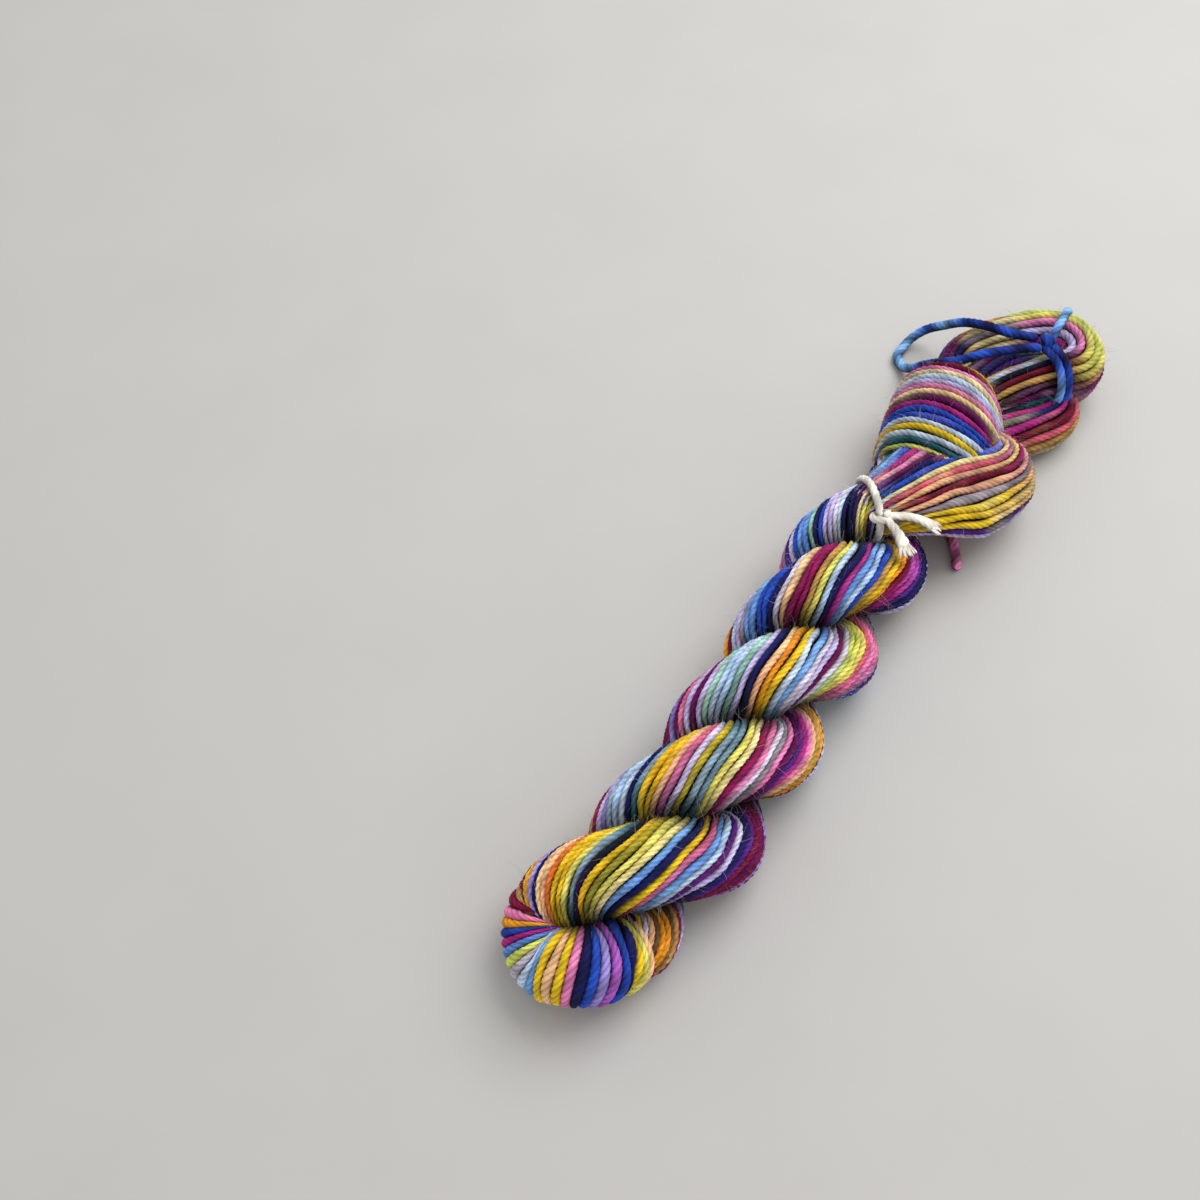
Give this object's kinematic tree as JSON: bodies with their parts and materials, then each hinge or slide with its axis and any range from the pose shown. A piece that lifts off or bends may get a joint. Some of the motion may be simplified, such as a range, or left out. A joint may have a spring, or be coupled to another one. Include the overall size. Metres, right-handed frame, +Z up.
{
  "type": "skein of yarn",
  "caption": "Small hank of hand-dyed wool yarn, twisted and folded into a rope, its end tucked through itself, with a cotton tie, a loose loop and a loose end.",
  "frame": {"origin": "on the table, under the middle of the skein", "axes": "+X along the rope from its fold to the tucked end, +Z up from the table"},
  "size_m": [0.2095, 0.0504, 0.0265],
  "materials": {
    "dyed_yarn": "soft matt wool, hand-dyed in changing colours along the strand",
    "cotton": "undyed matt cotton string",
    "blue_yarn": "soft matt wool, dyed blue",
    "pink_yarn": "soft matt wool, dyed pink"
  },
  "bodies": {
    "root": {"skein": "dyed_yarn", "tie": "cotton", "loose_loop": "blue_yarn", "loose_end": "pink_yarn"}
  },
  "joints": []
}
